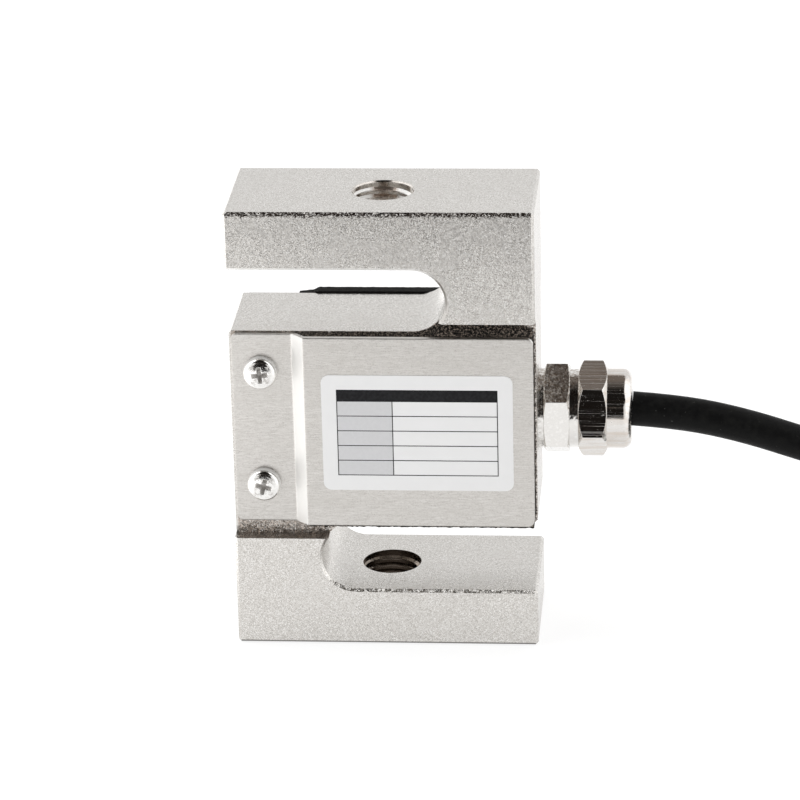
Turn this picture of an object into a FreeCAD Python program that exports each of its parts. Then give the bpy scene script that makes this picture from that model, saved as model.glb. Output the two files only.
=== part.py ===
"""S-type load cell with its sheet covers, rating label, strain-gauge pockets, cable gland and cable.

Millimetres, +Z up the loading axis. The origin is the centre of the lower tapped hole's mouth,
the gland points along +X and the labelled cover faces -Y. The rear side mirrors the front one.
"""
import FreeCAD, Part
import math
import os

V = FreeCAD.Vector
X_AXIS, Y_AXIS, Z_AXIS = V(1, 0, 0), V(0, 1, 0), V(0, 0, 1)

# Spring element: one block with two slots, cut from opposite sides
body_width = 51.0
body_depth = 24.0
arm_height = 10.0
slot_height = 11.5
block_height = 34.0
slot_reach = 10.8  # from the loading axis to the round end of each slot
edge_break = 0.45
thread_diameter = 10.0
thread_mouth_diameter = 10.5  # countersink at the two outer mouths
relief_depth = 2.75  # flat milled into the front and the rear, for the covers
relief_margin = 2.25  # how far that flat runs past the block, into the columns
pocket_diameter = 20.0
web_thickness = 2.5
pocket_floor_room = 2.2  # left free for gauge, board and wires under the potting

# Sheet covers: a flange screwed to the block, then a joggle up to the raised part
cover_side_margin = 0.4  # from the block's sides
cover_end_margin = 0.25  # from the slots
sheet_thickness = 0.8
flange_width = 10.1
joggle_run = 2.0
cover_corner_radius = 1.1
bend_radius = 0.35
potting_setback = 0.7  # from the edges of the raised part

# Pan-head cover screws
screw_inset = 4.8  # from the flange's free edge
screw_spacing = 20.0
screw_diameter = 3.0
screw_length = 5.0
screw_head_diameter = 5.6
screw_head_height = 1.9
screw_crown_radius = 10.0
screw_shoulder_radius = 0.95
screw_clearance = 0.2  # radial, in the cover
thread_clearance = 0.05  # radial, in every tapped hole
cross_width = 0.75
cross_span = 3.0
cross_depth = 1.3

# Rating label
label_width = 31.8
label_height = 20.5
label_corner_radius = 1.4
label_thickness = 0.12
label_shift = -0.25  # from the middle of the raised part

# Inside the pockets
gauge_size = 6.4
gauge_thickness = 0.1
board_width = 3.0
board_height = 11.0
board_thickness = 0.8
board_offset = 6.1
wire_diameter = 0.7
wire_spacing = 1.6
passage_diameter = 6.6

# Cable gland, along +X at mid height
gland_thread_diameter = 12.0
gland_thread_length = 7.8
gland_hole_spare = 0.2
washer_diameter = 13.4
washer_thickness = 1.0
gland_flats = 14.0
gland_hex_length = 4.25
gland_hex_turn = 2.5  # degrees from a corner pointing up, towards the front
gland_hex_chamfer = 0.38
neck_diameter = 13.2
neck_length = 1.5
nose_diameter = 10.6
nose_length = 4.9
cap_hex_length = 4.75
cap_hex_turn = -13.3
cap_hex_chamfer = 0.75
dome_diameter = 13.4
dome_length = 4.1
dome_radius = 1.5
cap_clearance = 0.05
seal_diameter = 8.6
seal_length = 4.2
seal_recess = 3.4  # how deep the seal sits in the nose
clamp_ring_thickness = 1.0
bore_clearance = 0.3  # radial, between the cable and the metal round it
seal_clearance = 0.05

# Cable: the free stretch sinks from the gland on to the top of its coil and dives between the turns
cable_diameter = 5.8
inner_cable_end = 14.5
coil_turn_radius = 32.2
turn_pitch = 5.9
coil_columns = 4
coil_layers = 4
coil_gap = 0.12  # between the coil and a stretch that lies on it
coil_left = 71.6
tie_thickness = 1.0
tie_width = 3.6
tie_head_height = 3.0
tie_head_width = 5.0
tie_angles = {"far_coil_tie": 75.0, "near_coil_tie": 195.0}  # degrees round the coil

# Stripped end, lying on the coil
sleeve_diameter = 6.6
sleeve_length = 12.0
sleeve_start = 5.0  # from where the tail leaves its turn, straight on
tail_angle = 306.0
tail_turn_radius = 26.4
lead_turn_radius = 32.8
lead_diameter = 1.1
tip_diameter = 0.75
tip_length = 5.0
lead_spacing = 1.2  # where the leads leave the sleeve
lead_spread = 2.3  # where they lie on the coil
lead_places = {"lead_red": 2, "lead_black": 1, "shield_lead": 0, "lead_green": -1, "lead_white": -2}

# Derived places
height = 2 * (arm_height + slot_height) + block_height
middle = height / 2
half_width = body_width / 2
half_depth = body_depth / 2
slot_radius = slot_height / 2
block_bottom = middle - block_height / 2
block_top = middle + block_height / 2
relief_face = half_depth - relief_depth
cover_left = cover_side_margin - half_width
cover_bottom = block_bottom + cover_end_margin
cover_height = block_height - 2 * cover_end_margin
flange_face = relief_face + sheet_thickness
raised_back = half_depth - sheet_thickness
joggle_start = cover_left + flange_width
joggle_end = joggle_start + joggle_run
screw_x = cover_left + screw_inset
label_centre = (joggle_end - cover_left) / 2 + label_shift
screw_heights = [middle - screw_spacing / 2, middle + screw_spacing / 2]
screw_turns = [14.0, -6.0]  # where each recess came to rest
washer_end = half_width + washer_thickness
hex_end = washer_end + gland_hex_length
neck_end = hex_end + neck_length
nose_end = neck_end + nose_length
cap_hex_end = neck_end + cap_hex_length
gland_end = cap_hex_end + dome_length
seal_start = nose_end - seal_recess
clamp_start = seal_start + seal_length
clamp_end = clamp_start + clamp_ring_thickness
cable_radius = cable_diameter / 2
metal_bore_radius = cable_radius + bore_clearance
coil_section_width = (coil_columns - 1) * turn_pitch + cable_diameter
layer_pitch = turn_pitch * math.sin(math.radians(60))  # the turns nest
coil_section_height = (coil_layers - 1) * layer_pitch + cable_diameter
coil_outer_radius = coil_turn_radius + coil_section_width / 2
coil_centre = V(coil_left + coil_outer_radius, coil_turn_radius, 0)
coil_top = tie_thickness + coil_section_height
on_top = coil_top + cable_radius + coil_gap


def on_coil(angle, radius, z):
    """Point given by its angle in degrees and its radius round the coil."""
    a = math.radians(angle)
    return coil_centre + V(radius * math.cos(a), radius * math.sin(a), z)


# Each point of a route is where two straight runs would meet
cable_route = [
    V(gland_end, 0, middle),
    V(49.5, 0, 37.9),
    V(60.0, 0, 35.6),
    V(70.5, 0, 32.1),
    V(81.0, 0, 28.8),
    V(92.0, 0, 26.3),
    V(104.0, 0, on_top),
    V(116.0, 0, on_top - 0.9),
    V(128.0, 0, on_top - 5.5),
    V(136.0, 0, on_top - 10.5),
]
tail_route = [
    on_coil(224, tail_turn_radius, on_top - 8.0),
    on_coil(242, tail_turn_radius, on_top - 4.4),
    on_coil(260, tail_turn_radius, on_top - 1.4),
    on_coil(278, tail_turn_radius, on_top),
    on_coil(296, tail_turn_radius + 0.5, on_top),
]


def box(low, high):
    """Box between two corners."""
    return Part.makeBox(high.x - low.x, high.y - low.y, high.z - low.z, low)


def rod_x(radius, start, end):
    """Cylinder along X at mid height."""
    return Part.makeCylinder(radius, end - start, V(start, 0, middle), X_AXIS)


def prism_y(points, start, end):
    """Outline in the XZ plane, extruded along Y."""
    wire = Part.makePolygon([V(x, start, z) for x, z in points + points[:1]])
    return Part.Face(wire).extrude(V(0, end - start, 0))


def edges_where(shape, test):
    """Edges of which every vertex passes the test."""
    return [edge for edge in shape.Edges if all(test(vertex.Point) for vertex in edge.Vertexes)]


def edges_along(shape, direction):
    """Straight edges parallel to a direction."""
    found = []
    for edge in shape.Edges:
        if isinstance(edge.Curve, Part.Line) and edge.Curve.Direction.cross(direction).Length < 1e-6:
            found.append(edge)
    return found


def same(a, b):
    return abs(a - b) < 1e-6


def rear(shape):
    """The same piece on the other face of the block."""
    return shape.mirror(V(0, 0, 0), Y_AXIS)


def route_solid(points, diameter, name=None):
    """Round cable along straight runs, joined by tangent arcs as large as the runs allow."""
    edges, radii, at = [], [], points[0]
    for before, corner, after in zip(points, points[1:], points[2:]):
        into, out = corner - before, after - corner
        turn = into.getAngle(out)
        reach = 0.45 * min(into.Length, out.Length)
        into.normalize()
        out.normalize()
        start, end = corner - into * reach, corner + out * reach
        radii.append(reach / math.tan(turn / 2))
        bisector = out - into
        bisector.normalize()
        half_turn = math.cos(turn / 2)
        middle_of_arc = corner + bisector * radii[-1] * (1 / half_turn - 1)
        edges.append(Part.LineSegment(at, start).toShape())
        edges.append(Part.Arc(start, middle_of_arc, end).toShape())
        at = end
    edges.append(Part.LineSegment(at, points[-1]).toShape())
    path = Part.Wire(edges)
    ring = Part.Wire(Part.makeCircle(diameter / 2, points[0], points[1] - points[0]))
    solid = path.makePipeShell([ring], True, False)
    expected = path.Length * math.pi * diameter ** 2 / 4
    if name:
        print(f"{name}: {path.Length:.1f} long, radii {[round(r, 1) for r in radii]},"
              f" volume {solid.Volume:.0f} of {expected:.0f}")
    return solid


def s_outline():
    """S outline in the XZ plane: straight flanks, and a half round at each slot's end."""
    slot_end = slot_reach - slot_radius
    corners = [
        (-half_width, 0), (half_width, 0), (half_width, arm_height), (-slot_end, arm_height),
        (-slot_end, block_bottom), (half_width, block_bottom), (half_width, height),
        (-half_width, height), (-half_width, height - arm_height), (slot_end, height - arm_height),
        (slot_end, block_top), (-half_width, block_top),
    ]
    bulges = {3: -slot_reach, 9: slot_reach}  # these sides are half rounds, out to this x
    edges = []
    for index, (x, z) in enumerate(corners):
        next_x, next_z = corners[(index + 1) % len(corners)]
        start, end = V(x, -half_depth, z), V(next_x, -half_depth, next_z)
        if index in bulges:
            top_of_arc = V(bulges[index], -half_depth, (z + next_z) / 2)
            edges.append(Part.Arc(start, top_of_arc, end).toShape())
        else:
            edges.append(Part.LineSegment(start, end).toShape())
    return Part.Wire(edges)


def tapped_hole(mouth, into, depth):
    """Cutter for a hole at the thread's full size, with a countersunk mouth."""
    radius = thread_diameter / 2
    sink = (thread_mouth_diameter - thread_diameter) / 2
    bore = Part.makeCylinder(radius, depth, mouth, into)
    cone = Part.makeCone(radius + sink, radius, sink, mouth, into)
    return bore.fuse(cone)


def spring_element():
    """The machined block: arms, columns, cover flats, gauge pockets and holes."""
    body = Part.Face(s_outline()).extrude(V(0, body_depth, 0))
    front_and_rear = edges_where(body, lambda p: same(abs(p.y), half_depth))
    front_and_rear = [e for e in front_and_rear if same(e.Vertexes[0].Y, e.Vertexes[-1].Y)]
    corners = [e for e in edges_along(body, Y_AXIS) if same(abs(e.Vertexes[0].X), half_width)]
    body = body.makeChamfer(edge_break, front_and_rear + corners)

    relief = box(V(-body_width, relief_face, block_bottom - relief_margin),
                 V(body_width, body_depth, block_top + relief_margin))
    pocket = Part.makeCylinder(pocket_diameter / 2, half_depth, V(0, web_thickness / 2, middle), Y_AXIS)
    cuts = [relief, rear(relief), pocket, rear(pocket)]
    cuts.append(tapped_hole(V(0, 0, 0), Z_AXIS, arm_height))
    cuts.append(tapped_hole(V(0, 0, height), -Z_AXIS, arm_height))

    gland_hole_end = half_width - gland_thread_length - gland_hole_spare
    cuts.append(rod_x(gland_thread_diameter / 2 + thread_clearance, gland_hole_end, half_width))
    cuts.append(rod_x(passage_diameter / 2, pocket_diameter / 2 - 1.5, gland_hole_end))
    for z in screw_heights:
        hole = Part.makeCylinder(screw_diameter / 2 + thread_clearance, screw_length,
                                 V(screw_x, -relief_face, z), Y_AXIS)
        cuts += [hole, rear(hole)]
    return body.cut(cuts)


def cover():
    """Front cover: flange, joggle and raised part of one sheet, with rounded corners."""
    bend = math.atan2(half_depth - flange_face, joggle_run)
    shift = sheet_thickness * math.tan(bend / 2)
    outline = [
        (cover_left, -flange_face), (joggle_start, -flange_face), (joggle_end, -half_depth),
        (-cover_left, -half_depth), (-cover_left, -raised_back), (joggle_end + shift, -raised_back),
        (joggle_start + shift, -relief_face), (cover_left, -relief_face),
    ]
    wire = Part.makePolygon([V(x, y, cover_bottom) for x, y in outline + outline[:1]])
    sheet = Part.Face(wire).extrude(V(0, 0, cover_height))
    upright = edges_along(sheet, Z_AXIS)
    bends = [e for e in upright if abs(e.Vertexes[0].X) < -cover_left - 1]
    sheet = sheet.makeFillet(bend_radius, bends)
    ends = [e for e in edges_along(sheet, Y_AXIS) if same(abs(e.Vertexes[0].X), -cover_left)]
    sheet = sheet.makeFillet(cover_corner_radius, ends)
    for z in screw_heights:
        sheet = sheet.cut(Part.makeCylinder(screw_diameter / 2 + screw_clearance, body_depth,
                                            V(screw_x, -body_depth, z), Y_AXIS))
    return sheet


def cover_screw(z, turn):
    """Pan-head screw through the front flange, with a tapered cross recess turned by some degrees."""
    seat, top = flange_face, flange_face + screw_head_height
    head = Part.makeCylinder(screw_head_diameter / 2, screw_head_height, V(0, -top, 0), Y_AXIS)
    crown = Part.makeSphere(screw_crown_radius, V(0, screw_crown_radius - top, 0))
    head = head.common(crown)
    rim = [e for e in head.Edges if e.BoundBox.YLength < 1e-6 and e.BoundBox.YMax < -seat - 1e-6]
    head = head.makeFillet(screw_shoulder_radius, rim)
    shank = Part.makeCylinder(screw_diameter / 2, screw_length - sheet_thickness, V(0, -seat, 0), Y_AXIS)
    screw = head.fuse(shank).removeSplitter()

    recess = Part.makeCone(cross_span / 2, cross_width / 2, cross_depth, V(0, -top, 0), Y_AXIS)
    blade = box(V(-cross_span, -top, -cross_width / 2), V(cross_span, -seat, cross_width / 2))
    upright_blade = blade.copy()
    upright_blade.rotate(V(0, 0, 0), Y_AXIS, 90)
    screw = screw.cut(recess.common(blade.fuse(upright_blade)))
    screw.rotate(V(0, 0, 0), Y_AXIS, turn)
    screw.translate(V(screw_x, 0, z))
    return screw


def rating_label():
    """Thin label on the raised part of the front cover."""
    low = V(label_centre - label_width / 2, -half_depth - label_thickness, middle - label_height / 2)
    high = V(label_centre + label_width / 2, -half_depth, middle + label_height / 2)
    label = box(low, high)
    return label.makeFillet(label_corner_radius, edges_along(label, Y_AXIS))


def potting():
    """Compound that fills the front pocket and the space under the raised cover."""
    left = joggle_end + sheet_thickness
    low = V(left, -raised_back, cover_bottom + potting_setback)
    high = V(-cover_left - potting_setback, -relief_face, cover_bottom + cover_height - potting_setback)
    floor = web_thickness / 2 + pocket_floor_room
    plug = Part.makeCylinder(pocket_diameter / 2, relief_face - floor, V(0, -relief_face, middle), Y_AXIS)
    return box(low, high).fuse(plug).removeSplitter()


def strain_gauge():
    """Foil gauge on the front of the web, set at 45 degrees across the shear plane."""
    half = gauge_size / 2
    gauge = box(V(-half, -web_thickness / 2 - gauge_thickness, -half), V(half, -web_thickness / 2, half))
    gauge = gauge.makeChamfer(gauge_size / 8, edges_along(gauge, Y_AXIS))
    gauge.rotate(V(0, 0, 0), Y_AXIS, 45)
    gauge.translate(V(-1.0, 0, middle))
    return gauge


def terminal_board():
    """Solder board on the front of the web, between the gauge and the wire passage."""
    low = V(board_offset - board_width / 2, -web_thickness / 2 - board_thickness, middle - board_height / 2)
    high = V(board_offset + board_width / 2, -web_thickness / 2, middle + board_height / 2)
    board = box(low, high)
    return board.makeFillet(board_thickness / 2, edges_along(board, Y_AXIS))


def bridge_wires():
    """Two wires from the cable's end to the front terminal board."""
    on_board = -web_thickness / 2 - board_thickness - wire_diameter / 2
    wires = []
    for side in (-0.5, 0.5):
        z = middle + side * wire_spacing
        points = [V(inner_cable_end, 0.5 * on_board, z), V(inner_cable_end - 1.5, 0.5 * on_board, z),
                  V(board_offset + 4.0, on_board, z), V(board_offset, on_board, z)]
        wires.append(route_solid(points, wire_diameter))
    return Part.makeCompound(wires)


def hexagon(start, end, turn, chamfer):
    """Hexagon along X, its corners cut back by a 30-degree cone at both ends."""
    corner = gland_flats / 2 / math.cos(math.radians(30))
    angles = [math.radians(turn + 60 * k) for k in range(6)]
    points = [V(start, -corner * math.sin(a), middle + corner * math.cos(a)) for a in angles]
    prism = Part.Face(Part.makePolygon(points + points[:1])).extrude(V(end - start, 0, 0))
    face = gland_flats / 2 - 0.05
    profile = [(start, 0), (start, face), (start + chamfer, corner), (end - chamfer, corner), (end, face),
               (end, 0)]
    wire = Part.makePolygon([V(x, 0, r) for x, r in profile + profile[:1]])
    turned = Part.Face(wire).revolve(V(0, 0, 0), X_AXIS, 360)
    turned.translate(V(0, 0, middle))
    return prism.common(turned)


def gland_washer():
    """Plain washer between the block and the gland's hexagon."""
    ring = rod_x(washer_diameter / 2, half_width, washer_end)
    return ring.cut(rod_x(gland_thread_diameter / 2 + thread_clearance, half_width, washer_end))


def gland_body():
    """Threaded spigot, hexagon, neck and the nose that the cap screws on to."""
    body = rod_x(gland_thread_diameter / 2, half_width - gland_thread_length, washer_end)
    body = body.fuse([
        hexagon(washer_end, hex_end, gland_hex_turn, gland_hex_chamfer),
        rod_x(neck_diameter / 2, hex_end, neck_end),
        rod_x(nose_diameter / 2, neck_end, nose_end),
    ])
    bore = rod_x(metal_bore_radius, 0, nose_end)
    seat = rod_x(seal_diameter / 2 + seal_clearance, seal_start, nose_end)
    return body.cut([bore, seat]).removeSplitter()


def gland_seal():
    """Rubber bush squeezed on to the cable."""
    bush = rod_x(seal_diameter / 2, seal_start, clamp_start)
    return bush.cut(rod_x(cable_radius + seal_clearance, seal_start, clamp_start))


def gland_clamp_ring():
    """Ring that lets the cap turn without twisting the seal."""
    ring = rod_x(nose_diameter / 2 - cap_clearance, clamp_start, clamp_end)
    return ring.cut(rod_x(metal_bore_radius, clamp_start, clamp_end))


def gland_cap():
    """Cap with its hexagon and rounded dome."""
    dome = rod_x(dome_diameter / 2, cap_hex_end - 1, gland_end)
    rim = [e for e in dome.Edges if e.BoundBox.XMin > gland_end - 1e-6]
    dome = dome.makeFillet(dome_radius, rim)
    cap = hexagon(neck_end, cap_hex_end, cap_hex_turn, cap_hex_chamfer).fuse(dome)
    inside = rod_x(nose_diameter / 2 + cap_clearance, neck_end, clamp_end)
    mouth = rod_x(metal_bore_radius, clamp_end, gland_end)
    return cap.cut([inside, mouth]).removeSplitter()


def inner_cable():
    """The cable's stretch inside the gland and the block."""
    return rod_x(cable_radius, inner_cable_end, gland_end)


def below_coil_top():
    """Everything under the coil's flat top: a stretch that dives into the turns ends there."""
    return box(V(coil_left, -coil_outer_radius, 0), V(coil_left + 3 * coil_outer_radius,
                                                     3 * coil_outer_radius, coil_top))


def free_cable():
    """The cable from the gland's mouth to where it dives into the coil, trimmed flush at the mouth."""
    cable = route_solid(cable_route, cable_diameter, "free_cable")
    return cable.cut([rod_x(cable_diameter, half_width, gland_end), below_coil_top()])


def coil_section(grow):
    """Cross-section of the wound bundle in the XZ plane, round its outermost turns, grown by a margin."""
    half = (coil_columns - 1) * turn_pitch / 2
    low = tie_thickness + cable_radius
    high = coil_top - cable_radius
    corners = [(-half, low), (half, low), (half, high - layer_pitch), (half - turn_pitch / 2, high),
               (turn_pitch / 2 - half, high), (-half, high - layer_pitch)]
    points = [V(coil_turn_radius + x, 0, z) for x, z in corners]
    return Part.Face(Part.makePolygon(points + points[:1])).makeOffset2D(cable_radius + grow)


def round_coil(shape, angle=0.0):
    """Turn a shape made at the coil's zero angle to its place in the coil."""
    shape.rotate(V(0, 0, 0), Z_AXIS, angle)
    shape.translate(coil_centre)
    return shape


def cable_coil():
    """Outer form of the wound turns."""
    return round_coil(coil_section(0).revolve(V(0, 0, 0), Z_AXIS, 360))


def coil_tie(angle):
    """Cable tie round the turns, with its head on top."""
    sweep = math.degrees(tie_width / coil_turn_radius)
    band = coil_section(tie_thickness).cut(coil_section(0)).revolve(V(0, 0, 0), Z_AXIS, sweep)
    half_head = tie_head_width / 2
    head = box(V(coil_turn_radius - half_head, -0.2 * tie_width, coil_top + tie_thickness / 2),
               V(coil_turn_radius + half_head, 1.2 * tie_width, coil_top + tie_head_height))
    head = head.makeFillet(0.6, edges_along(head, Z_AXIS))
    return round_coil(band.fuse(head).removeSplitter(), angle)


def sleeve_line():
    """Both ends of the shrink sleeve's axis, lying on the coil."""
    leaving = on_coil(tail_angle, tail_turn_radius, coil_top + sleeve_diameter / 2)
    a = math.radians(tail_angle + 90)
    along = V(math.cos(a), math.sin(a), 0)
    return leaving + along * sleeve_start, leaving + along * (sleeve_start + sleeve_length)


def cable_tail():
    """The cable's last stretch: up out of the coil, and along its top to the sleeve."""
    start, end = sleeve_line()
    forward = (end - start).normalize()
    points = tail_route + [start - forward * 3.0, start + forward]
    tail = route_solid(points, cable_diameter, "cable_tail")
    return tail.cut([below_coil_top(), end_sleeve()])


def end_sleeve():
    """Shrink sleeve where the cable's jacket ends."""
    start, end = sleeve_line()
    sleeve = Part.makeCylinder(sleeve_diameter / 2, sleeve_length, start, end - start)
    return sleeve.makeFillet(0.4, sleeve.Edges)


def lead(place):
    """Insulated lead with a bare tip: out of the sleeve, down on to the coil, and along it."""
    start, end = sleeve_line()
    forward = (end - start).normalize()
    across = forward.cross(Z_AXIS)
    rest = coil_top + lead_diameter / 2
    leaving = end + across * (lead_spacing * place)
    radius = lead_turn_radius + lead_spread * place
    points = [
        leaving,
        leaving + forward * (4.0 + 0.7 * place),
        on_coil(tail_angle + 53, radius, coil_top + 1.4),
        on_coil(tail_angle + 67, radius + 0.5, rest),
        on_coil(tail_angle + 83, radius - 0.3 * place, rest),
        on_coil(tail_angle + 101, radius + 0.4 * place, rest),
    ]
    insulated = route_solid(points, lead_diameter)
    along = points[-1] - points[-2]
    return insulated.fuse(Part.makeCylinder(tip_diameter / 2, tip_length, points[-1], along))


front_cover_screws = Part.makeCompound([cover_screw(z, turn) for z, turn in zip(screw_heights, screw_turns)])
nodes = {
    "spring_element": spring_element(),
    "front_cover": cover(),
    "rear_cover": rear(cover()),
    "front_cover_screws": front_cover_screws,
    "rear_cover_screws": rear(front_cover_screws),
    "rating_label": rating_label(),
    "front_potting": potting(),
    "rear_potting": rear(potting()),
    "front_strain_gauge": strain_gauge(),
    "rear_strain_gauge": rear(strain_gauge()),
    "front_terminal_board": terminal_board(),
    "rear_terminal_board": rear(terminal_board()),
    "front_bridge_wires": bridge_wires(),
    "rear_bridge_wires": rear(bridge_wires()),
    "gland_washer": gland_washer(),
    "gland_body": gland_body(),
    "gland_seal": gland_seal(),
    "gland_clamp_ring": gland_clamp_ring(),
    "gland_cap": gland_cap(),
    "inner_cable": inner_cable(),
    "free_cable": free_cable(),
    "cable_coil": cable_coil(),
    "cable_tail": cable_tail(),
    "end_sleeve": end_sleeve(),
}
for tie_name, tie_angle in tie_angles.items():
    nodes[tie_name] = coil_tie(tie_angle)
for lead_name, lead_place in lead_places.items():
    nodes[lead_name] = lead(lead_place)

os.makedirs("parts", exist_ok=True)
for node_name, node_shape in nodes.items():
    node_shape.exportStep(f"parts/{node_name}.step")
    solids = len(node_shape.Solids)
    print(f"{node_name}: {solids} solid(s), volume {node_shape.Volume:.1f}, valid {node_shape.isValid()}")
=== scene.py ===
"""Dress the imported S-type load cell: finishes, thread forms, cover sealant, label marks, the cable with
its coil, and the studio round them. Metres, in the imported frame: +Z up the loading axis, -Y towards the
labelled cover.
"""
import math

import bpy
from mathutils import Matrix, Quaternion, Vector, noise


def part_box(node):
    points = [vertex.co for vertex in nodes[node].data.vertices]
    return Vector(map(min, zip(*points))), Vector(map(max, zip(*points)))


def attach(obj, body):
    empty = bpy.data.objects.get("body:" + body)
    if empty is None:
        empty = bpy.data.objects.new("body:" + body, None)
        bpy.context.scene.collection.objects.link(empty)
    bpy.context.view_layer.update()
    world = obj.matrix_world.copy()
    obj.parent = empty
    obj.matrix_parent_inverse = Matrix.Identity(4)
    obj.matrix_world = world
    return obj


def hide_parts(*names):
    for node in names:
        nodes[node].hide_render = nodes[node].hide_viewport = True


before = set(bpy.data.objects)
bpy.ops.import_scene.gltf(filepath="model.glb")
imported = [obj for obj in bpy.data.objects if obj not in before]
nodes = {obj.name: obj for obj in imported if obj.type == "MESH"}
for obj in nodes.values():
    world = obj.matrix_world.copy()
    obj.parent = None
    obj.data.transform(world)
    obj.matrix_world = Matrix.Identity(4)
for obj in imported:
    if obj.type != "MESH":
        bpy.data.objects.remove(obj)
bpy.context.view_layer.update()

MM = 0.001

# Sizes in millimetres, as in the CAD source
body_face = 12.0  # the block's front, flush with the raised part of its cover
sheet_back = 11.2  # back of that raised part
flat_face = 9.25  # the flat that is milled into the block for a cover
flat_past_cover = 2.5  # how far the flat runs on past the cover's ends
arm_height = 10.0
slot_radius = 5.75
slot_centre_x = 5.05
screw_offset = 10.0  # of each cover screw, above or below the middle of its cover
tail_angle = 306  # degrees round the coil, where the cable's tail leaves it

body_low, body_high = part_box("spring_element")
cover_low, cover_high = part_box("front_cover")


def clamp(value):
    return min(max(value, 0.0), 1.0)


def ease(value):
    """Smooth step from 0 to 1."""
    t = clamp(value)
    return t * t * (3 - 2 * t)


def middle_of(name):
    """Middle of one node's box."""
    low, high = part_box(name)
    return (low + high) / 2


# ---------------------------------------------------------------- node trees

class Graph:
    """Small kit for one tree of shader nodes."""

    def __init__(self, tree):
        self.tree = tree

    def feed(self, socket, value):
        """Join another node's socket to this one, or set this one to a constant."""
        if isinstance(value, bpy.types.NodeSocket):
            self.tree.links.new(value, socket)
        else:
            socket.default_value = value

    def add(self, kind, feeds=None, **settings):
        """A node with its settings, and with its sockets fed."""
        made = self.tree.nodes.new("ShaderNode" + kind)
        for key, value in settings.items():
            setattr(made, key, value)
        for key, value in (feeds or {}).items():
            self.feed(made.inputs[key], value)
        return made

    def split(self, vector):
        return self.add("SeparateXYZ", {"Vector": vector}).outputs

    def math(self, operation, *values):
        return self.add("Math", dict(enumerate(values)), operation=operation).outputs["Value"]

    def absolute(self, value):
        return self.math("ABSOLUTE", value)

    def plus(self, first, second):
        return self.math("ADD", first, second)

    def minus(self, first, second):
        return self.math("SUBTRACT", first, second)

    def times(self, first, *others):
        for other in others:
            first = self.math("MULTIPLY", first, other)
        return first

    def vector(self, operation, *values):
        """Arithmetic on vectors. SCALE takes one and a number or mask."""
        sockets = (0, "Scale" if operation == "SCALE" else 1)
        return self.add("VectorMath", dict(zip(sockets, values)), operation=operation).outputs["Vector"]

    def spread(self, source, low, high, to_low=0.0, to_high=1.0, kind="LINEAR"):
        """Map a range of values to another, clamped."""
        feeds = {"Value": source, "From Min": low, "From Max": high, "To Min": to_low, "To Max": to_high}
        return self.add("MapRange", feeds, interpolation_type=kind).outputs["Result"]

    def smooth(self, source, low, high, to_low=0.0, to_high=1.0):
        """The same as spread, with soft ends."""
        return self.spread(source, low, high, to_low, to_high, "SMOOTHSTEP")

    def change(self, mask, off, on):
        """A value that goes from off to on with a mask."""
        return self.spread(mask, 0.0, 1.0, off, on)


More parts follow.
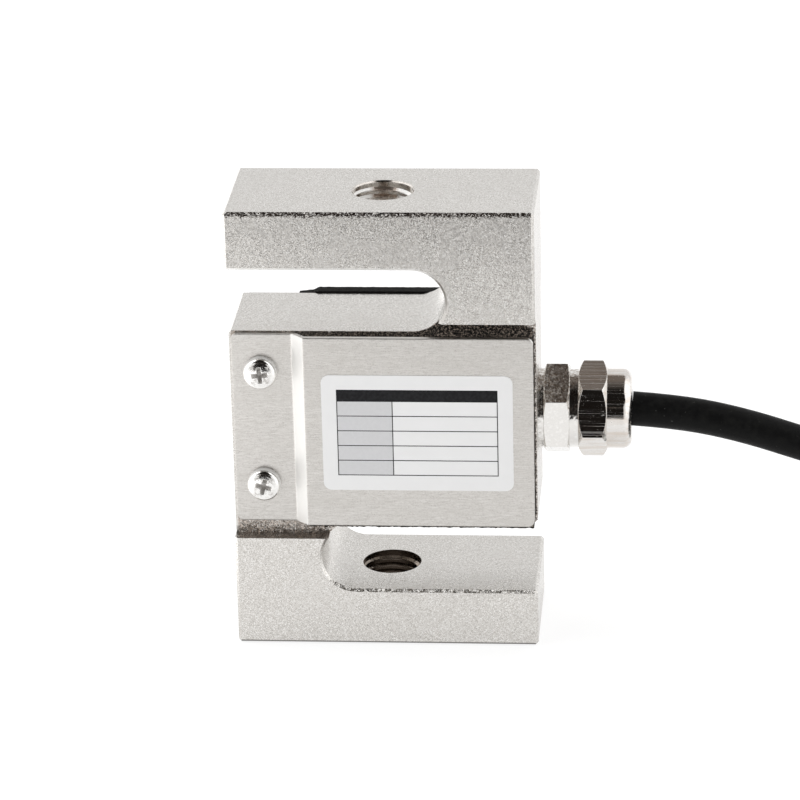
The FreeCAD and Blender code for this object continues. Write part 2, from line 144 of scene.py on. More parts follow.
class Finish(Graph):
    """A procedural material: one Principled shader, fed by object-space patterns."""

    def __init__(self, name, color, roughness, metallic=0.0, **sockets):
        self.material = bpy.data.materials.new(name)
        self.material.use_nodes = True
        super().__init__(self.material.node_tree)
        self.inputs = self.tree.nodes["Principled BSDF"].inputs
        constants = {"Base Color": (*color, 1), "Roughness": roughness, "Metallic": metallic, **sockets}
        for key, value in constants.items():
            self.inputs[key.replace("_", " ")].default_value = value
        self.place = self.add("TexCoord").outputs["Object"]

    # Patterns and masks

    def noise(self, size, detail=2.0, roughness=0.5, distortion=0.0):
        """Noise whose grains measure size millimetres, given for each axis or once for all."""
        sizes = size if isinstance(size, tuple) else (size, size, size)
        mapping = self.add("Mapping", {"Vector": self.place, "Scale": [1 / (s * MM) for s in sizes]})
        made = self.add("TexNoise", {"Vector": mapping.outputs["Vector"], "Scale": 1.0, "Detail": detail,
                                     "Roughness": roughness, "Distortion": distortion})
        return made.outputs["Fac"]

    def own_normal(self):
        return self.add("NewGeometry").outputs["Normal"]

    def facing(self):
        """The surface's own direction, as three values without their signs."""
        return [self.absolute(part) for part in self.split(self.own_normal())]

    def rise(self):
        """How far the surface faces up, from -1 to 1."""
        return self.split(self.own_normal())[2]

    def within(self, axis, low, high):
        """1 between two coordinates in metres. Along Y they are distances from the middle plane."""
        value = self.split(self.place)["XYZ".index(axis)]
        if axis == "Y":
            value = self.absolute(value)
        return self.times(self.math("GREATER_THAN", value, low), self.math("LESS_THAN", value, high))

    def near_axis(self, radius):
        """1 within radius millimetres of the loading axis."""
        x, y, _ = self.split(self.place)
        square = self.plus(self.times(x, x), self.times(y, y))
        return self.math("LESS_THAN", square, (radius * MM) ** 2)

    # What the shader is given

    def blend(self, mask, color):
        """Lay a colour over what the shader has so far."""
        base = self.inputs["Base Color"]
        so_far = base.links[0].from_socket if base.links else base.default_value
        mix = self.add("MixRGB", {"Fac": mask, "Color1": so_far, "Color2": (*color, 1)})
        self.feed(base, mix.outputs["Color"])

    def rough(self, value):
        self.feed(self.inputs["Roughness"], value)

    def matt(self, mask):
        """Stop the surface from being metal where a mask is 1."""
        self.feed(self.inputs["Metallic"], self.minus(1.0, mask))

    def round_edges(self, radius, where=None):
        """Shade sharp edges as if broken by radius millimetres, everywhere or where a mask is 1."""
        rounded = self.add("Bevel", {"Radius": radius * MM}, samples=6).outputs["Normal"]
        if where is not None:
            own = self.own_normal()
            share = self.vector("SCALE", self.vector("SUBTRACT", rounded, own), where)
            rounded = self.vector("ADD", own, share)
        self.feed(self.inputs["Normal"], rounded)

    def facets(self, size, tilt):
        """Lean the surface at random in cells of size millimetres, and return each cell's own value."""
        normal = self.inputs["Normal"]
        upright = normal.links[0].from_socket if normal.links else self.own_normal()
        cells = self.add("TexVoronoi", {"Vector": self.place, "Scale": 1 / (size * MM)}).outputs["Color"]
        lean = self.vector("SCALE", self.vector("SUBTRACT", cells, (0.5, 0.5, 0.5)), tilt)
        self.feed(normal, self.vector("NORMALIZE", self.vector("ADD", upright, lean)))
        return self.split(cells)[0]

    def bump(self, height, depth):
        """Raise the surface by height times depth millimetres."""
        normal = self.inputs["Normal"]
        feeds = {"Height": height, "Distance": depth * MM}
        if normal.links:
            feeds["Normal"] = normal.links[0].from_socket
        self.feed(normal, self.add("Bump", feeds).outputs["Normal"])


# ---------------------------------------------------------------- finishes

def blasted_nickel():
    """Satin nickel over a blasted block, with darker brown milled flats, ragged breaks along its upper
    edges that are partly painted dark reflection, a painted shadow along its foot, painted shade in the
    lower bore and a painted highlight on edges that face down above the cover.
    """
    look = Finish("blasted_nickel", (0.66, 0.637, 0.605), 0.26, 1.0)
    look.round_edges(0.08)
    along_x, along_y, along_z = look.facing()
    height = look.split(look.place)[2]

    # places on the block
    face, flat = body_face * MM, flat_face * MM
    chamfer, corner = 0.8 * MM, 0.35 * MM
    slack, fine_slack = 0.1 * MM, 0.03 * MM
    foot_low, foot_high = body_low.z - 1.0 * MM, body_low.z + 1.0 * MM
    fray_low, fray_high = body_high.z - 1.1 * MM, body_high.z - 0.5 * MM
    flat_reach = (flat_past_cover + 0.05) * MM
    slot_end_left, slot_end_right = 2.0 * MM, 14.0 * MM
    bore_reach = 5.8  # millimetres from the axis, countersinks and all

    # masks
    above = look.within("Z", cover_high.z, body_high.z)
    upward = look.math("GREATER_THAN", look.rise(), 0.0)
    slant = look.spread(look.times(along_y, along_z), 0.3, 0.45)
    upper_edges = look.times(slant, upward, look.within("Y", face - chamfer, face + slack))
    underside_highlight = look.math("MAXIMUM", look.times(look.minus(above, upward), slant, 0.9), 0.0)
    foot_shadow = look.times(slant, look.within("Z", foot_low, foot_high))
    slot_ends = look.times(look.spread(look.times(along_x, along_y), 0.3, 0.45),
                           look.within("X", slot_end_left, slot_end_right))
    front_skin = look.times(look.spread(along_y, 0.97, 0.99), look.within("Y", face - slack, face + slack))
    below_top = look.spread(height, fray_low, fray_high)
    recess = look.times(look.within("Y", flat - fine_slack, face - fine_slack),
                        look.within("Z", cover_low.z - flat_reach, cover_high.z + flat_reach),
                        look.within("X", body_low.x + corner, body_high.x))
    bore = look.times(look.near_axis(bore_reach), look.spread(along_z, 0.97, 0.9))
    lower_bore_shade = look.times(bore, look.within("Z", body_low.z, cover_low.z), 0.85)

    # the grain: coarse cells on the upper edges and the milled flats, fine ones all over
    look.facets(0.36, look.plus(look.change(upper_edges, 0.02, 1.5), look.change(recess, 0.0, 0.35)))
    tilt = look.plus(look.change(upper_edges, 0.1, 0.6), look.change(recess, 0.0, 0.35))
    fine = look.facets(0.12, look.times(tilt, look.change(bore, 1.0, 0.1)))
    look.blend(look.spread(fine, 0.62, 1.0), (0.86, 0.85, 0.83))
    look.blend(look.spread(fine, 0.40, 0.0), (0.46, 0.44, 0.41))

    # the plate's faults and tones, with painted shadow, shade, highlight and dark reflection among them
    strokes = look.noise((0.4, 0.24, 0.24), distortion=1.0)
    # near-black ragged strokes on the chamfers that face up: partly worn plate, partly painted dark
    # reflection of the overhead
    torn_and_dark_reflection = look.minus(strokes, look.times(above, 0.22))
    look.blend(look.times(upper_edges, look.spread(torn_and_dark_reflection, 0.38, 0.30)), (0.03, 0.022, 0.018))
    frayed = look.minus(strokes, look.times(below_top, 0.25))
    look.blend(look.times(front_skin, look.spread(frayed, 0.30, 0.23)), (0.05, 0.038, 0.03))
    look.blend(look.times(slot_ends, 0.8), (0.40, 0.385, 0.365))
    # painted contact shadow: a dark line along the bottom edges
    look.blend(foot_shadow, (0.16, 0.15, 0.14))
    # painted highlight: pale matt paint on the slanted edges above the cover that face down
    look.blend(underside_highlight, (0.85, 0.84, 0.82))
    look.matt(underside_highlight)
    # darker and browner on the milled flats round the covers
    look.blend(look.times(recess, look.spread(fine, 1.2, 0.0)), (0.42, 0.355, 0.305))
    look.blend(look.times(bore, 0.3), (0.42, 0.36, 0.31))
    # painted shade deep in the lower bore
    look.blend(lower_bore_shade, (0.24, 0.205, 0.175))
    clouds = look.noise(9.0)
    look.rough(look.plus(look.spread(clouds, 0.3, 0.7, 0.25, 0.29), look.change(bore, 0.0, -0.1)))
    return look


def thread_nickel():
    """Cut thread under the plate: stained brown, with a painted highlight, pale and matt, towards the upper
    one's sides, and painted shade over all of the lower one.
    """
    look = Finish("thread_nickel", (0.60, 0.54, 0.49), 0.16, 1.0)
    stains = look.noise((1.5, 1.5, 0.3), detail=3.0)
    from_middle = look.absolute(look.split(look.place)[0])
    highlight_from, highlight_full = 1.7 * MM, 2.6 * MM
    flank_highlight = look.times(look.spread(from_middle, highlight_from, highlight_full),
                        look.within("Z", cover_high.z, body_high.z))
    look.blend(look.spread(stains, 0.5, 0.7), (0.36, 0.29, 0.24))
    # painted highlight: pale matt paint on the upper thread's sides
    look.blend(flank_highlight, (0.93, 0.92, 0.90))
    # painted shade over the whole lower thread
    look.blend(look.within("Z", body_low.z, cover_low.z), (0.28, 0.24, 0.205))
    look.matt(flank_highlight)
    look.rough(look.spread(stains, 0.35, 0.7, 0.12, 0.3))
    look.bump(stains, 0.02)
    return look


def brushed_sheet():
    """Stainless sheet brushed along X: short strokes, fine grain and soft bands, with a painted highlight
    on the joggle and painted dark reflection along the front's rounded top and bottom edges.
    """
    look = Finish("brushed_sheet", (0.60, 0.58, 0.553), 0.3, 1.0, Anisotropic=0.4)
    along_x, along_y, along_z = look.facing()
    look.round_edges(0.35, look.spread(along_y, 0.85, 0.95))
    broken = look.spread(look.times(along_y, along_z), 0.12, 0.22)
    joggle_highlight = look.spread(along_x, 0.25, 0.6)
    strokes = look.noise((1.5, 0.13, 0.13), roughness=0.6)
    grain = look.noise((0.26, 0.13, 0.13), detail=1.0)
    broad = look.noise((30.0, 3.0, 3.0))
    scratches = look.noise((5.0, 0.09, 0.5), detail=1.0, distortion=1.5)
    look.blend(look.spread(strokes, 0.5, 0.8), (0.72, 0.70, 0.675))
    look.blend(look.spread(strokes, 0.5, 0.2), (0.48, 0.462, 0.435))
    look.blend(look.spread(grain, 0.5, 0.2), (0.46, 0.44, 0.415))
    look.blend(look.spread(broad, 0.45, 0.8, 0.0, 0.5), (0.54, 0.52, 0.49))
    look.blend(look.spread(scratches, 0.74, 0.8, 0.0, 0.4), (0.45, 0.43, 0.41))
    # painted highlight: the joggle's bevel is paler and rougher
    look.blend(joggle_highlight, (0.82, 0.81, 0.79))
    # painted dark reflection along the front's rounded top and bottom edges, with a smoother gloss
    look.blend(broken, (0.10, 0.09, 0.085))
    dull = look.plus(look.spread(strokes, 0.3, 0.7, 0.26, 0.36), look.change(joggle_highlight, 0.0, 0.22))
    look.rough(look.minus(dull, look.change(broken, 0.0, 0.24)))
    look.bump(strokes, 0.004)
    return look


def cast_nickel():
    """Bright plate over the rougher gland body: a gently uneven skin, with brown pits only where it faces
    up, partly painted dark reflection.
    """
    look = Finish("cast_nickel", (0.76, 0.745, 0.72), 0.12, 1.0)
    look.round_edges(0.1)
    cell = look.facets(0.3, 0.13)
    pits = look.noise(0.5, detail=4.0, roughness=0.65)
    upward = look.spread(look.rise(), 0.1, 0.4, 0.0, 0.95)
    # brown pits only on faces that point up: partly pitting, partly painted dark reflection of the overhead
    look.blend(look.times(upward, look.spread(pits, 0.54, 0.42)), (0.32, 0.26, 0.21))
    look.blend(look.spread(cell, 0.7, 1.0, 0.0, 0.5), (0.88, 0.87, 0.85))
    look.rough(look.spread(pits, 0.3, 0.7, 0.2, 0.1))
    look.bump(pits, 0.012)
    return look


def bright_nickel():
    """Polished plate on the cap and ring: fine lines along the axis, soft stains and a few knocks."""
    look = Finish("bright_nickel", (0.73, 0.712, 0.69), 0.1, 1.0)
    look.round_edges(0.1)
    lines = look.noise((30.0, 0.17, 0.17))
    stains = look.noise((8.0, 0.8, 0.8), detail=3.0)
    knocks = look.noise((0.7, 0.3, 0.5), detail=3.0, distortion=2.0)
    grain = look.noise(0.2)
    look.blend(look.spread(stains, 0.42, 0.66, 0.0, 0.7), (0.60, 0.52, 0.45))
    look.blend(look.spread(knocks, 0.68, 0.72, 0.0, 0.8), (0.95, 0.93, 0.9))
    look.blend(look.spread(grain, 0.5, 0.25, 0.0, 0.5), (0.55, 0.52, 0.48))
    look.rough(look.plus(look.spread(lines, 0.52, 0.66, 0.07, 0.36),
                         look.spread(knocks, 0.66, 0.72, 0.0, 0.3)))
    look.bump(lines, 0.006)
    look.bump(grain, 0.004)
    return look


def screw_nickel():
    """Bright plated screw, worn dull and scuffed in and round its cross recess, and dull down its side."""
    look = Finish("screw_nickel", (0.86, 0.85, 0.83), 0.12, 1.0)
    look.round_edges(0.15)
    look.matt(look.spread(look.facing()[1], 0.5, 0.25, 0.0, 0.85))
    x, _, z = look.split(look.place)
    middle = middle_of("front_cover_screws")
    off_x = look.absolute(look.minus(x, middle.x))
    off_z = look.absolute(look.minus(look.absolute(look.minus(z, middle.z)), screw_offset * MM))
    off_axis = look.math("MAXIMUM", off_x, off_z)
    recess_floor, recess_mouth, recess_reach = 9.0 * MM, 11.8 * MM, 1.5 * MM
    recess = look.times(look.within("Y", recess_floor, recess_mouth),
                        look.math("LESS_THAN", off_axis, recess_reach))
    wear = look.noise(0.4, detail=3.0)
    scuffs = look.times(look.spread(off_axis, 2.2 * MM, 0.8 * MM), look.spread(wear, 0.55, 0.3))
    look.blend(scuffs, (0.34, 0.32, 0.30))
    look.blend(look.times(recess, look.spread(wear, 0.3, 0.7, 0.3, 1.0)), (0.62, 0.60, 0.58))
    look.rough(look.plus(look.spread(wear, 0.3, 0.7, 0.08, 0.16), look.change(recess, 0.0, 0.45)))
    look.bump(wear, 0.02)
    return look


def film(name, color, size=1.5, roughness=0.42, mottle=0.96, shine=0.4, metallic=0.0):
    """Smooth skin, mostly printed or moulded plastic, with a faint mottle."""
    look = Finish(name, color, roughness, metallic, Specular_IOR_Level=shine)
    cloud = look.noise(size, detail=3.0)
    look.blend(look.spread(cloud, 0.35, 0.65), [c * mottle for c in color])
    look.rough(look.spread(cloud, 0.3, 0.7, roughness - 0.06, roughness + 0.08))
    look.bump(cloud, 0.004)
    return look


def compound(name, dust):
    """Black silicone, dull, with a torn edge and more or less dust."""
    look = Finish(name, (0.005, 0.0047, 0.0045), 0.75, Specular_IOR_Level=0.12)
    lumps = look.noise(0.3, detail=4.0, roughness=0.75)
    look.blend(look.spread(lumps, 0.50, 0.62, 0.0, dust), (0.37, 0.31, 0.26))
    look.bump(lumps, 0.25)
    return look


def jacket():
    """Black cable jacket: satin, faintly uneven, with specks of lint."""
    look = Finish("cable_jacket", (0.003, 0.003, 0.003), 0.5, Specular_IOR_Level=0.1)
    cloud = look.noise(1.1, detail=4.0)
    lint = look.noise((0.5, 0.3, 0.3))
    look.blend(look.spread(cloud, 0.45, 0.75), (0.007, 0.007, 0.0065))
    look.blend(look.spread(lint, 0.74, 0.78, 0.0, 0.8), (0.09, 0.09, 0.085))
    look.rough(look.spread(cloud, 0.3, 0.7, 0.44, 0.62))
    look.bump(cloud, 0.03)
    return look


looks = {
    "block": blasted_nickel(),
    "cover": brushed_sheet(),
    "gland": bright_nickel(),
    "cast": cast_nickel(),
    "thread": thread_nickel(),
    "screw": screw_nickel(),
    "label": film("label_film", (0.81, 0.81, 0.81), size=3.0, roughness=0.4, mottle=0.985),
    "ink": film("label_ink", (0.012, 0.012, 0.013), size=0.5, roughness=0.6, mottle=1.8, shine=0.1),
    "tint": film("label_tint", (0.62, 0.62, 0.63), size=0.5, roughness=0.5, mottle=0.97),
    "potting": compound("potting_compound", 1.0),
    "clean_potting": compound("clean_potting_compound", 0.03),
    "cable": jacket(),
    "rubber": film("seal_rubber", (0.02, 0.02, 0.02), roughness=0.6, mottle=1.5),
    "gauge": film("gauge_film", (0.72, 0.48, 0.16), size=0.4, roughness=0.3, mottle=0.7),
    "board": film("board_laminate", (0.1, 0.34, 0.16), size=0.3, roughness=0.4, mottle=0.8),
    "nylon": film("tie_nylon", (0.78, 0.78, 0.75), size=2.0, roughness=0.38, mottle=0.93),
    "sleeve": film("sleeve_shrink", (0.022, 0.022, 0.023), size=0.8, roughness=0.5, mottle=1.6),
    "red": film("wire_red", (0.55, 0.03, 0.03), size=0.8, mottle=0.85),
    "black": film("wire_black", (0.02, 0.02, 0.02), size=0.8, mottle=1.5),
    "green": film("wire_green", (0.03, 0.30, 0.08), size=0.8, mottle=0.85),
    "white": film("wire_white", (0.80, 0.80, 0.78), size=0.8, mottle=0.94),
    "braid": film("shield_braid", (0.62, 0.62, 0.60), size=0.3, roughness=0.35, mottle=0.7, metallic=1.0),
}

nodes_by_look = {
    "block": ["spring_element"],
    "cover": ["front_cover", "rear_cover"],
    "gland": ["gland_cap", "gland_clamp_ring"],
    "cast": ["gland_washer", "gland_body"],
    "screw": ["front_cover_screws", "rear_cover_screws"],
    "label": ["rating_label"],
    "potting": ["front_potting"],
    "clean_potting": ["rear_potting"],
    "cable": ["inner_cable"],
    "rubber": ["gland_seal"],
    "gauge": ["front_strain_gauge", "rear_strain_gauge"],
    "board": ["front_terminal_board", "rear_terminal_board"],
    "nylon": ["far_coil_tie", "near_coil_tie"],
    "sleeve": ["end_sleeve"],
    "red": ["lead_red", "front_bridge_wires", "rear_bridge_wires"],
    "black": ["lead_black"],
    "green": ["lead_green"],
    "white": ["lead_white"],
    "braid": ["shield_lead"],
}
for look_name, node_names in nodes_by_look.items():
    for node_name in node_names:
        materials = nodes[node_name].data.materials
        materials.clear()
        materials.append(looks[look_name].material)

for cover_name in nodes_by_look["cover"]:
    edge = nodes[cover_name].modifiers.new("broken_edge", "BEVEL")
    edge.width = 0.3 * MM
    edge.segments = 3
    edge.limit_method = "ANGLE"
    edge.angle_limit = math.radians(40)


# ---------------------------------------------------------------- pieces

def mesh_piece(name, points, faces, look, smooth=False):
    """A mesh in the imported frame, riding on the one body."""
    mesh = bpy.data.meshes.new(name)
    mesh.from_pydata(points, [], faces)
    mesh.validate()
    mesh.update()
    if smooth:
        mesh.polygons.foreach_set("use_smooth", [True] * len(mesh.polygons))
    mesh.materials.append(looks[look].material)
    piece = bpy.data.objects.new(name, mesh)
    bpy.context.scene.collection.objects.link(piece)
    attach(piece, "root")


def swept(name, rings, look, smooth=False):
    """Solid through a row of closed rings that all have the same number of points."""
    size = len(rings[0])
    last = (len(rings) - 1) * size
    faces = [tuple(reversed(range(size))), tuple(range(last, last + size))]
    for start in range(0, last, size):
        for k in range(size):
            after = (k + 1) % size
            faces.append((start + k, start + after, start + size + after, start + size + k))
    mesh_piece(name, [point for ring in rings for point in ring], faces, look, smooth)


def thread_form(name, low, high):
    """Helical ridge on the wall of a tapped hole, from low to high, fading out at both mouths."""
    pitch, major, minor = 1.25 * MM, 5.02 * MM, 4.5 * MM
    flat = 0.07 * MM  # half the crest's width
    root = 0.34 * pitch  # half the ridge's width at the wall
    steps = 64  # in one turn
    fade_steps = 0.6 * steps
    total = int((high - low - pitch) / pitch * steps)
    rings = []
    for i in range(total + 1):
        turn = i / steps
        a = 2 * math.pi * turn
        fade = ease(min(i, total - i) / fade_steps)
        crest = major + (minor - major) * fade
        z = low + pitch / 2 + pitch * turn
        half = root * max(fade, 0.05)
        tip = min(flat, half / 2)
        section = ((major, half), (crest, tip), (crest, -tip), (major, -half))
        rings.append([(r * math.cos(a), r * math.sin(a), z + rise) for r, rise in section])
    swept(name, rings, "thread")


arm = arm_height * MM
sink = 0.1 * MM  # the thread stops short of both mouths
thread_form("lower_thread_form", body_low.z + sink, body_low.z + arm - sink)
thread_form("upper_thread_form", body_high.z - arm + sink, body_high.z - sink)


def ragged(point, size):
    """Uneven value about zero. It changes over a length of size, in the point's own unit."""
    return noise.noise(point / size) + 0.6 * noise.noise(point / (0.4 * size) + Vector((7, 3, 5)))


def floor_rise(x):
    """Millimetres from the cover's top edge up to the upper slot's floor, which ends in a half round."""
    centre_z = body_high.z / MM - arm_height - slot_radius
    reach = clamp((x - slot_centre_x) / slot_radius) * slot_radius
    return centre_z - math.sqrt(slot_radius ** 2 - reach ** 2) - cover_high.z / MM


def cover_sealant(name, side):
    """Black silicone squeezed out round a cover's raised part: over its top, down its side, under it."""
    front = side < 0
    joggle, right = -13.4, 25.0  # near the two ends of the raised part
    left = joggle if front else -15.6
    thick, thin, thins_from = 2.5, 0.9, 22.6  # height of the front smear, less towards the right
    run_in = 1.2  # millimetres over which a bead grows
    low, high = cover_low.z / MM, cover_high.z / MM
    wall, back, face = flat_face + 0.02, sheet_back - 0.02, body_face - 0.07
    step, corner = 0.28, 0.8
    along = [i * step for i in range(int((right - left) / step) + 1)]
    down = [i * step for i in range(int((high - low - 2 * corner) / step) + 1)]
    path = []  # x, z, outward x, outward z, height at the wall, height at the sheet, outermost y
    for x in (left + distance for distance in along):
        start = ease((x - joggle) / run_in)
        if front:
            smear = min(floor_rise(x), thick) - 0.2
            if x > thins_from:
                smear += (thin - smear) * ease((x - thins_from) / 1.8)
            path.append((x, high, 0, 1, smear * start, -0.3 * start, back))
        else:
            start = 0.3 * ease((x - left) / 2.0) + 0.7 * start
            path.append((x, high, 0, 1, 0.5 * start, 0.42 * start, face - 0.9 * (1 - start)))
    for z in (high - corner - distance for distance in down):
        path.append((right, z, 1, 0, 0.24, -0.05, back))
    for x in (right - distance for distance in along):
        path.append((x, low, 0, -1, 0.1, 0.34 * ease((x - left) / run_in), face - 0.2))
    rings = []
    across, rooted = 6, 0.9  # points from the wall to the sheet, and how far in the bead is rooted
    uneven, lump_size = 0.15 if front else 0.05, 0.7
    for x, z, out_x, out_z, at_wall, at_sheet, edge_y in path:
        ring = []
        for k in range(across):
            t = k / (across - 1)
            y = wall + (edge_y - wall) * t
            lumps = uneven * ragged(Vector((x, side * y, z)), lump_size)
            height = at_wall + (at_sheet - at_wall) * t ** 0.8 + lumps
            ring.append(Vector((x + out_x * height, side * y, z + out_z * height)) * MM)
        for y in (back, wall):
            ring.append(Vector((x - out_x * rooted, side * y, z - out_z * rooted)) * MM)
        rings.append(ring if front else ring[::-1])
    swept(name, rings, "potting" if front else "clean_potting", smooth=True)


cover_sealant("front_cover_sealant", -1)
cover_sealant("rear_cover_sealant", 1)


def printed(name, fields, look):
    """Thin printed shapes on the label, given by their corners in millimetres from the label's middle."""
    middle = middle_of("rating_label")
    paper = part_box("rating_label")[0].y
    front, back = paper - 0.012 * MM, paper + 0.02 * MM
    points, faces = [], []
    for x0, z0, x1, z1 in fields:
        start = len(points)
        corners = [(x0, z0), (x1, z0), (x1, z1), (x0, z1)]
        points += [(middle.x + x * MM, y, middle.z + z * MM) for y in (front, back) for x, z in corners]
        faces.append(tuple(range(start, start + 4)))
        faces.append(tuple(range(start + 7, start + 3, -1)))
        for k in range(4):
            after = (k + 1) % 4
            faces.append((start + k, start + 4 + k, start + 4 + after, start + after))
    mesh_piece(name, points, faces, look)


def label_form():
    """A blank rating form: a solid heading band, and ruled rows with a shaded column for their captions."""
    side, top, foot = 13.4, 7.7, -7.6
    band, rule = 2.1, 0.15  # the band's height, and the width of a line
    column, rows = -4.2, 5  # the shaded column's right edge
    row = (top - band - foot) / rows
    lines = [(-side, top - band, side, top)]
    lines += [(-side, foot + row * k, side, foot + row * k + rule) for k in range(rows)]
    lines += [(x, foot, x + rule, top - band) for x in (-side, column, side - rule)]
    shaded = [(-side + rule, foot + row * k + rule, column, foot + row * (k + 1)) for k in range(rows)]
    printed("label_rules", lines, "ink")
    printed("label_shading", shaded, "tint")


label_form()


# ---------------------------------------------------------------- cable

cable_diameter = 5.8 * MM
coil_middle = middle_of("cable_coil")
turn_points = 18
# a quadratic spline cuts inside its control points by this share
outside = 1 / math.cos(math.pi / turn_points)


def on_coil(degrees, radius, z):
    """Point given by its angle, and by its radius and height in millimetres, round the coil."""
    a = math.radians(degrees)
    return Vector((coil_middle.x + radius * MM * math.cos(a),
                   coil_middle.y + radius * MM * math.sin(a), z * MM))


# Control points of the two ends. The free stretch is the CAD route as far as the coil, then dives in.
cable_route = [
    Vector((0.0411, 0, 0.0385)), Vector((0.0495, 0, 0.0379)), Vector((0.0600, 0, 0.0356)),
    Vector((0.0705, 0, 0.0321)), Vector((0.0810, 0, 0.0288)), Vector((0.0920, 0, 0.0263)),
    Vector((0.1035, 0, 0.02515)), on_coil(-90, 32.2, 25.15), on_coil(-68, 33.9, 24.7),
    on_coil(-46, 36.4, 22.5), on_coil(-24, 38.7, 19.7),
]
tail_route = [
    on_coil(242, 26.7, 20.9), on_coil(260, 26.7, 23.8), on_coil(278, 26.6, 25.2), on_coil(296, 26.9, 25.2),
]

# The wound turns, first to last: radius and height of each. Columns are filled down, up, down, up.
winding = [
    (38.1, 19.23), (41.05, 14.12), (38.1, 9.01), (41.05, 3.9),
    (35.15, 3.9), (32.2, 9.01), (35.15, 14.12), (32.2, 19.23),
    (29.25, 14.12), (26.3, 9.01), (29.25, 3.9),
    (23.35, 3.9), (23.35, 14.12), (26.3, 19.23),
]
first_angle, cross_start, cross_sweep = -4.0, 232.0, 50.0  # degrees; the turns change place in that sector


def coil_points():
    """Control points of the turns, from where the free stretch has dived in to where the tail rises."""
    made = []
    angle = first_angle
    while angle < cross_start + 360 * (len(winding) - 1):
        turn = max(math.ceil((angle - cross_start) / 360), 0)
        radius, z = winding[turn]
        if turn:
            t = ease((angle - cross_start) % 360 / cross_sweep)
            old_radius, old_z = winding[turn - 1]
            radius, z = old_radius + (radius - old_radius) * t, old_z + (z - old_z) * t
        wander = 0.2 * math.sin(math.radians(2 * angle + 50 * turn))
        made.append(on_coil(angle, (radius + wander) * outside, z))
        angle += 360 / turn_points
    return made


sleeve_middle = middle_of("end_sleeve")
tail_heading = math.radians(tail_angle + 90)
forward = Vector((math.cos(tail_heading), math.sin(tail_heading), 0))
route = cable_route + coil_points() + tail_route
route += [sleeve_middle + forward * (reach * MM) for reach in (-9.0, -3.0, 3.0)]

curve = bpy.data.curves.new("signal_cable", "CURVE")
curve.dimensions = "3D"
curve.bevel_depth = cable_diameter / 2
curve.bevel_resolution = 6
curve.resolution_u = 5
curve.use_fill_caps = True
spline = curve.splines.new("NURBS")
spline.points.add(len(route) - 1)
for point, place in zip(spline.points, route):
    point.co = (*place, 1)
spline.order_u = 3
spline.use_endpoint_u = True
curve.materials.append(looks["cable"].material)
cable = bpy.data.objects.new("signal_cable", curve)
bpy.context.scene.collection.objects.link(cable)
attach(cable, "root")
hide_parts("free_cable", "cable_coil", "cable_tail")


# ---------------------------------------------------------------- studio

def build_world():
    """White room, brighter at both sides, with a dark strip overhead and a dark front behind the camera."""
    world = bpy.data.worlds.new("studio")
    bpy.context.scene.world = world
    world.use_nodes = True
    world.node_tree.nodes.clear()
    kit = Graph(world.node_tree)
    # a direction of length 1, and the length of its level part
    x, y, z = kit.split(kit.add("TexCoord").outputs["Generated"])
    level = kit.math("MAXIMUM", kit.math("SQRT", kit.minus(1.0, kit.times(z, z))), 0.001)
    aside = kit.absolute(x)
    ahead = kit.math("DIVIDE", kit.times(y, -1.0), level)

    widening = kit.smooth(z, 0.42, 0.56, 0.0, 0.3)
    front = kit.smooth(kit.plus(ahead, widening), 0.925, 0.965)
    overhead = kit.times(kit.smooth(z, 0.70, 0.76), kit.smooth(aside, 0.40, 0.28))
    dark = kit.math("MAXIMUM", overhead, front)
    slit_height = 0.366  # of a faint light line across the dark front
    from_slit = kit.absolute(kit.minus(z, slit_height))
    slit = kit.times(front, kit.smooth(from_slit, 0.011, 0.006, 0.0, 0.3))
    gloom = kit.plus(kit.spread(y, -0.25, 0.35, 0.012, 0.2), slit)
    bright = kit.times(kit.smooth(kit.math("DIVIDE", aside, level), 0.55, 0.8, 1.0, 1.6),
                       kit.smooth(z, 0.05, 0.35, 1.0, 0.94))
    strength = kit.plus(kit.times(kit.minus(1.0, dark), bright), kit.times(dark, gloom))

    tint = kit.add("MixRGB", {"Fac": dark, "Color1": (1, 1, 1, 1), "Color2": (1, 0.86, 0.76, 1)})
    room = kit.add("Background", {"Color": tint.outputs["Color"], "Strength": strength})
    plain = kit.add("Background", {"Color": (1, 1, 1, 1)})
    choose = kit.add("MixShader", {"Fac": kit.add("LightPath").outputs["Is Camera Ray"],
                                   1: room.outputs["Background"], 2: plain.outputs["Background"]})
    kit.add("OutputWorld", {"Surface": choose.outputs["Shader"]})


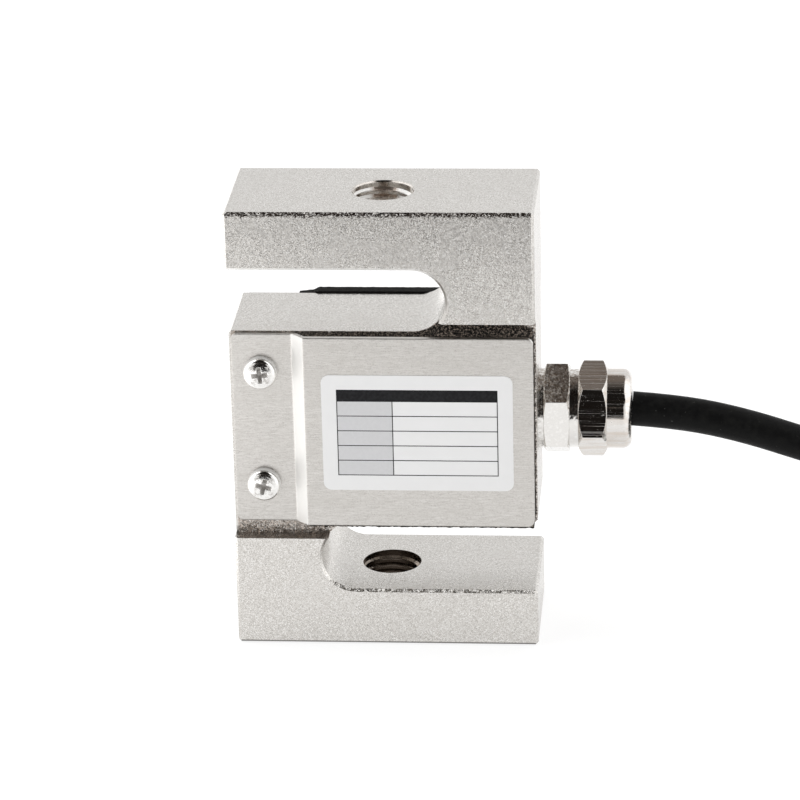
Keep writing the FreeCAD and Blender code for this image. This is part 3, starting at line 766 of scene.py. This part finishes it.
def build_floor():
    """White table top: partly its own glow, so that its shadows stay faint, and brighter at both sides."""
    mesh = bpy.data.meshes.new("table_top")
    front, back, side = -0.25, 2.4, 2.4
    corners = [(-side, front, 0), (side, front, 0), (side, back, 0), (-side, back, 0)]
    mesh.from_pydata(corners, [], [(0, 1, 2, 3)])
    floor = bpy.data.objects.new("table_top", mesh)
    bpy.context.scene.collection.objects.link(floor)
    look = Finish("table_white", (0.3, 0.3, 0.3), 0.9, Specular_IOR_Level=0.0, Emission_Color=(1, 1, 1, 1))
    x = look.split(look.place)[0]
    glow = look.plus(look.smooth(x, -0.036, -0.07, 0.0, 0.65), look.smooth(x, 0.045, 0.1, 0.73, 0.87))
    seen = look.add("LightPath").outputs["Is Camera Ray"]
    seen_glow = 0.78
    strength = look.plus(look.times(seen, seen_glow), look.times(look.minus(1.0, seen), glow))
    look.feed(look.inputs["Emission Strength"], strength)
    mesh.materials.append(look.material)


def aim(thing, place, direction, roll=0.0):
    """Put a lamp or the camera at a place, looking along a direction, and link it."""
    thing.location = place
    thing.rotation_mode = "QUATERNION"
    thing.rotation_quaternion = direction.to_track_quat("-Z", "Y") @ Quaternion((0, 0, 1), roll)
    bpy.context.scene.collection.objects.link(thing)


def build_lamp(name, place, size, power):
    """Soft area lamp that polished metal doesn't mirror, aimed at the middle of the block."""
    light = bpy.data.lights.new(name, "AREA")
    light.shape = "DISK"
    light.size = size
    light.energy = power
    lamp = bpy.data.objects.new(name, light)
    lamp.visible_glossy = False
    aim(lamp, place, Vector((0, 0, 0.038)) - Vector(place))


def build_camera():
    azimuth, elevation, roll = math.radians(4.928), math.radians(21.34), math.radians(-1.402)
    distance, target = 0.677132, Vector((0.00198, 0, 0.0397))
    away = Vector((math.sin(azimuth) * math.cos(elevation), -math.cos(azimuth) * math.cos(elevation),
                   math.sin(elevation)))
    data = bpy.data.cameras.new("camera")
    data.sensor_width = 36
    data.lens = 180.53
    data.clip_start = 0.01
    camera = bpy.data.objects.new("camera", data)
    aim(camera, target + away * distance, -away, roll)
    bpy.context.scene.camera = camera


build_world()
build_floor()
build_lamp("front_lamp", (0.1, -1.2, 0.9), size=0.8, power=3.0)
build_lamp("top_lamp", (-0.3, 0.3, 1.4), size=1.0, power=9.0)
build_camera()
bpy.context.scene.view_settings.view_transform = "Standard"
